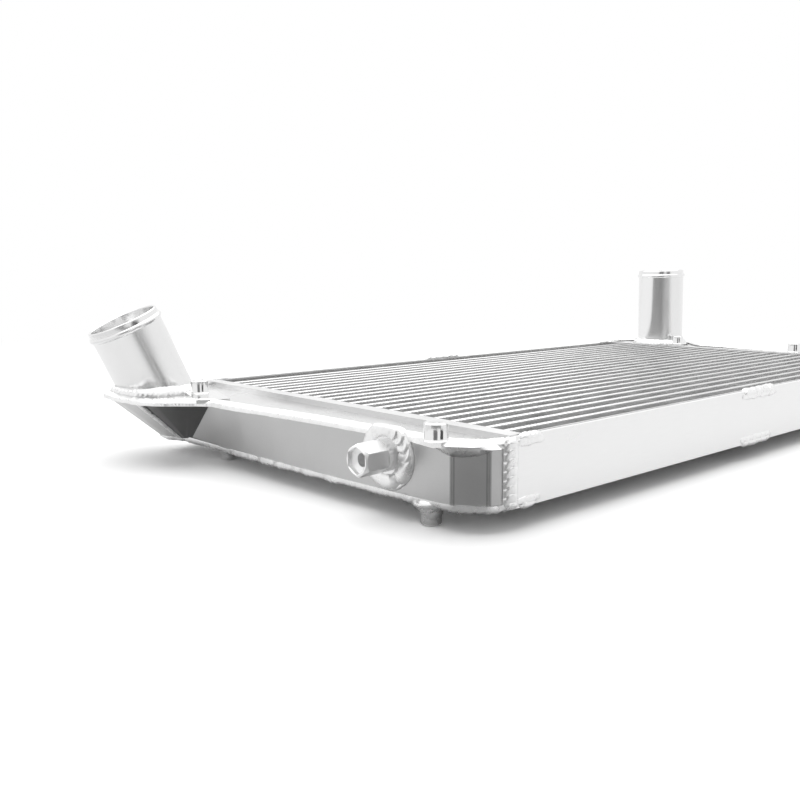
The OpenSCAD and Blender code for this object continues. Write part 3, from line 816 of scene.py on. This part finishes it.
def threaded_boss(name, place, spot):
    """Turned boss with a broken rim and a threaded blind hole."""
    top, r, bore, pitch = 9.5, 6.75, 3.4, 1.25
    thread = []
    for k in range(5):
        z = top - 1.0 - pitch * k
        thread += [(bore + 0.1, z), (bore + 0.55, z - 0.62)]
    profile = [(r + 0.9, -0.2), (r + 0.35, 0.3), (r, 1.1), (r, top - 0.7), (r - 0.7, top),
               (bore + 0.7, top), *thread, (bore, 2.0), (0.3, 1.6), (0.3, -0.2)]
    points, faces = turned_profile(profile, 72)
    add_piece(f"{name}_threaded_boss", points + place([*spot, TAB_TOP]), faces, boss_finish,
              [f"{name}_boss"], sharp=30)


def welded_peg(name, place, spot, node, seed):
    """Turned peg with weld metal run down round its top."""
    rng = np.random.RandomState(seed)
    a = np.linspace(0, 2 * np.pi, 96, endpoint=False)
    r, root = 6.2, 8.8
    drip = 1.3 * np.clip(np.cos(a - math.radians(245)), 0, 1) ** 2
    lump = sum(rng.uniform(-0.4, 0.4) * np.cos(k * a + rng.uniform(0, 6.3)) for k in (2, 3, 5, 7))
    rings = [(0.3, 0.0), (r - 1.0, 0.0), (r - 0.3, 0.35), (r, 1.1),
             (r, 6.6 - 2.2 * drip + lump * 0.5),
             (r + 0.7 + 0.3 * drip, 7.4 - 2.0 * drip + lump * 0.6),
             (r + 1.1 + 0.5 * drip, 9.0 - drip + lump), (r + 1.5 + 0.4 * lump, 11.2),
             (root, TANK_Z - 0.6), (root, TANK_Z + 0.3), (0.3, TANK_Z + 0.3)]
    points, faces = swept_solid(around_axis(rings, a))
    add_piece(name, points + place([*spot, 0.0]), faces, machined_finish, [node],
              sharp=40)


def peg_blob(name, place, spot, seed):
    """Weld metal heaped between the tank's lower bead and the outer side of a peg."""
    a = np.radians(np.linspace(-105, 75, 60))
    around = np.column_stack([np.cos(a), np.sin(a), np.zeros(len(a))])
    parts = []
    for radius, z, width, height, turn in ((6.6, 10.4, 6.4, 2.2, 0.9), (8.2, 12.6, 6.0, 2.4, 0.5)):
        line = around * radius + [spot[0], spot[1], z]
        parts.append(bead(line, *leaning(around, -UP, turn), width, height, pitch=4.2,
                          ripple=0.3, wobble=0.18, seed=seed + int(z), sink=2.0, taper=5))
    points, faces = joined(parts)
    add_piece(name, place(points), faces, weld_finish, sharp=50)


for side, place in TANKS:
    for name, spot in BOSSES.items():
        if name.startswith(side):
            threaded_boss(name, place, spot)
    for k, (name, spot) in enumerate(PEGS.items()):
        welded_peg(f"{side}_{name}_with_weld", place, spot, f"{side}_{name}", 50 + k)
        peg_blob(f"{side}_{name}_blob", place, spot, 60 + k)


# Fins

def fin_strip(y0, depth):
    """One corrugated row as a closed folded sheet across a gap between two tubes."""
    run = CORE_L / FIN_WAVES
    line = []
    for x in run * np.arange(FIN_WAVES):
        line += [(x, 0.0), (x + run * 0.34, 0.0), (x + run * 0.5, depth), (x + run * 0.84, depth)]
    line.append((CORE_L, 0.0))
    line = np.array(line)
    v = headings(line)
    half = np.stack([-v[:, 1], v[:, 0]], 1) * FOIL_T / 2
    one, two = (np.clip(side, [0, 0.02], [CORE_L, depth - 0.02])
                for side in (line + half, line - half))
    low = MID_Z - FIN_H / 2
    rings = np.stack([np.column_stack([side, np.full(len(side), z)])
                      for side, z in ((one, low), (two, low), (two, low + FIN_H),
                                      (one, low + FIN_H))], 1)
    return swept_solid(rings + [-MID_X, y0 - MID_Y, 0])


def fine_fins():
    """All fin rows, one between each pair of tubes and a deeper one at each end."""
    end_depth = 1.5 * TUBE_PITCH - TUBE_W / 2 - FIRST_FIN_Y
    rows = [(FIRST_FIN_Y, end_depth)]
    rows += [((i + 0.5) * TUBE_PITCH + TUBE_W / 2, TUBE_PITCH - TUBE_W) for i in range(1, 22)]
    rows += [(22.5 * TUBE_PITCH + TUBE_W / 2, end_depth)]
    points, faces = joined([fin_strip(y, depth) for y, depth in rows])
    add_piece("fine_fin_rows", points, faces, fin_painted_shade_finish, ["fins"])


fine_fins()


# Camera

def aim_camera():
    """Camera at the photo's place, solved from the even spacing of the tubes."""
    pitch, yaw, roll = 0.147, 0.8542, -0.0076
    focal_pixels, picture_pixels = 834.739, 800
    corner = np.array([-MID_X, -MID_Y, CORE_TOP])
    from_corner = TUBE_PITCH * np.array([-23.984, -20.254, 5.923])
    ahead = np.array([math.cos(pitch) * math.cos(yaw), math.cos(pitch) * math.sin(yaw),
                      -math.sin(pitch)])
    right = np.array([math.sin(yaw), -math.cos(yaw), 0.0])
    up = np.cross(right, ahead)
    c, s = math.cos(roll), math.sin(roll)
    right, up = c * right + s * up, -s * right + c * up
    data = bpy.data.cameras.new("photo camera")
    data.sensor_width = 36.0
    data.lens = focal_pixels / picture_pixels * data.sensor_width
    data.clip_start = 0.02
    data.clip_end = 60
    camera = bpy.data.objects.new("photo camera", data)
    axes = np.column_stack([right, up, -ahead, (corner + from_corner) * MM])
    camera.matrix_world = Matrix([*axes.tolist(), [0, 0, 0, 1]])
    bpy.context.scene.collection.objects.link(camera)
    bpy.context.scene.camera = camera


aim_camera()


# Floor, lamps and world

def seen_rays(tree):
    """Light Path node, and a socket that is 1 for camera, glossy and transmission rays."""
    rays = tree.nodes.new("ShaderNodeLightPath")
    seen = math_node(tree, "MAXIMUM", rays.outputs["Is Camera Ray"], rays.outputs["Is Glossy Ray"])
    return rays, math_node(tree, "MAXIMUM", seen, rays.outputs["Is Transmission Ray"])


def mixed(tree, share, first, second):
    """Shader between two others, by the socket share."""
    mix = tree.nodes.new("ShaderNodeMixShader")
    for socket, output in zip(mix.inputs, (share, first, second)):
        tree.links.new(output, socket)
    return mix.outputs[0]


def paper(tree, level):
    """Diffuse shader of a plain grey."""
    node = tree.nodes.new("ShaderNodeBsdfDiffuse")
    node.inputs["Color"].default_value = (level, level, level, 1)
    return node


def level_sheet(name, half_x, half_y, material):
    """Rectangle in the XY plane, for the stage."""
    mesh = bpy.data.meshes.new(name)
    corners = [(-half_x, -half_y, 0), (half_x, -half_y, 0), (half_x, half_y, 0),
               (-half_x, half_y, 0)]
    mesh.from_pydata(corners, [], [(0, 1, 2, 3)])
    mesh.materials.append(material)
    sheet = bpy.data.objects.new(name, mesh)
    bpy.context.scene.collection.objects.link(sheet)
    return sheet


def studio_floor():
    """Pale floor that keeps the part's shadow near it and turns to plain white further out.

    The camera sees it raised towards white, and it throws little light back under the part.
    """
    near_edge, far_edge = 0.6, 1.5
    material = bpy.data.materials.new("pale floor")
    material.use_nodes = True
    tree = material.node_tree
    tree.nodes.remove(tree.nodes["Principled BSDF"])
    rays, seen = seen_rays(tree)
    lift = tree.nodes.new("ShaderNodeBsdfDiffuse")
    raised = tree.nodes.new("ShaderNodeMapRange")
    raised.inputs["To Min"].default_value = 0.18
    raised.inputs["To Max"].default_value = 0.58
    tree.links.new(rays.outputs["Is Camera Ray"], raised.inputs["Value"])
    tree.links.new(raised.outputs["Result"], lift.inputs["Color"])
    near = tree.nodes.new("ShaderNodeAddShader")
    tree.links.new(paper(tree, 0.9).outputs[0], near.inputs[0])
    tree.links.new(lift.outputs[0], near.inputs[1])
    white = tree.nodes.new("ShaderNodeEmission")
    spot = tree.nodes.new("ShaderNodeTexCoord")
    reach = tree.nodes.new("ShaderNodeVectorMath")
    reach.operation = "LENGTH"
    tree.links.new(spot.outputs["Object"], reach.inputs[0])
    out = tree.nodes.new("ShaderNodeMapRange")
    out.interpolation_type = "SMOOTHSTEP"
    out.inputs["From Min"].default_value = near_edge
    out.inputs["From Max"].default_value = far_edge
    tree.links.new(reach.outputs["Value"], out.inputs["Value"])
    shown = mixed(tree, out.outputs["Result"], near.outputs[0], white.outputs[0])
    result = mixed(tree, seen, paper(tree, 0.4).outputs[0], shown)
    tree.links.new(result, tree.nodes["Material Output"].inputs["Surface"])
    level_sheet("floor", 12.0, 12.0, material)


def white_world():
    """World that is white to the camera and to gloss, and lights the part at a plain level."""
    world = bpy.data.worlds.new("studio")
    bpy.context.scene.world = world
    world.use_nodes = True
    tree = world.node_tree
    light = tree.nodes["Background"]
    white = tree.nodes.new("ShaderNodeBackground")
    for background, strength in ((light, 0.46), (white, 1.0)):
        background.inputs["Color"].default_value = (1, 1, 1, 1)
        background.inputs["Strength"].default_value = strength
    _, seen = seen_rays(tree)
    result = mixed(tree, seen, light.outputs[0], white.outputs[0])
    tree.links.new(result, tree.nodes["World Output"].inputs["Surface"])


def soft_box(name, place, size, power, target):
    """Area lamp that faces a target."""
    data = bpy.data.lights.new(name, "AREA")
    data.shape = "RECTANGLE"
    data.size, data.size_y = size
    data.energy = power
    lamp = bpy.data.objects.new(name, data)
    lamp.location = place
    lamp.rotation_euler = (Vector(target) - Vector(place)).to_track_quat("-Z", "Y").to_euler()
    bpy.context.scene.collection.objects.link(lamp)


def grey_card(name, place, size, level, target=None):
    """Grey studio card with soft edges that only gloss sees, for the dark tones in bright metal.

    It lies level unless it has a target to face.
    """
    inner_share = 0.7
    half_x, half_y = size[0] / 2, size[1] / 2
    material = bpy.data.materials.new(name)
    material.use_nodes = True
    tree = material.node_tree
    tree.nodes.remove(tree.nodes["Principled BSDF"])
    clear = tree.nodes.new("ShaderNodeBsdfTransparent")
    spot = tree.nodes.new("ShaderNodeTexCoord")
    axes = tree.nodes.new("ShaderNodeSeparateXYZ")
    tree.links.new(spot.outputs["Object"], axes.inputs[0])
    fades = []
    for axis, half in (("X", half_x), ("Y", half_y)):
        fade = tree.nodes.new("ShaderNodeMapRange")
        fade.interpolation_type = "SMOOTHSTEP"
        fade.inputs["From Min"].default_value = half
        fade.inputs["From Max"].default_value = half * inner_share
        tree.links.new(math_node(tree, "ABSOLUTE", axes.outputs[axis]), fade.inputs["Value"])
        fades.append(fade.outputs["Result"])
    solid = math_node(tree, "MULTIPLY", *fades)
    result = mixed(tree, solid, clear.outputs[0], paper(tree, level).outputs[0])
    tree.links.new(result, tree.nodes["Material Output"].inputs["Surface"])
    card = level_sheet(name, half_x, half_y, material)
    card.location = place
    if target is not None:
        card.rotation_euler = (Vector(target) - Vector(place)).to_track_quat("Z", "Y").to_euler()
    card.visible_camera = False
    card.visible_shadow = False
    card.visible_diffuse = False


studio_floor()
white_world()
soft_box("top softbox", (0.15, 0.35, 1.5), (3.0, 2.6), 24, (0, 0, 0.03))
grey_card("camera side card", (-1.25, -1.0, 0.3), (1.0, 1.2), 0.37, target=(0, 0, 0.08))
grey_card("standing card", (-0.14, -1.05, 0.12), (0.56, 0.6), 0.12, target=(-0.35, 0.15, 0.08))
grey_card("front floor card", (-0.62, -0.45, 0.001), (0.75, 0.75), 0.38)
grey_card("left floor card", (-0.78, 0.2, 0.0012), (0.6, 0.9), 0.95)

bpy.context.scene.view_settings.view_transform = "Standard"
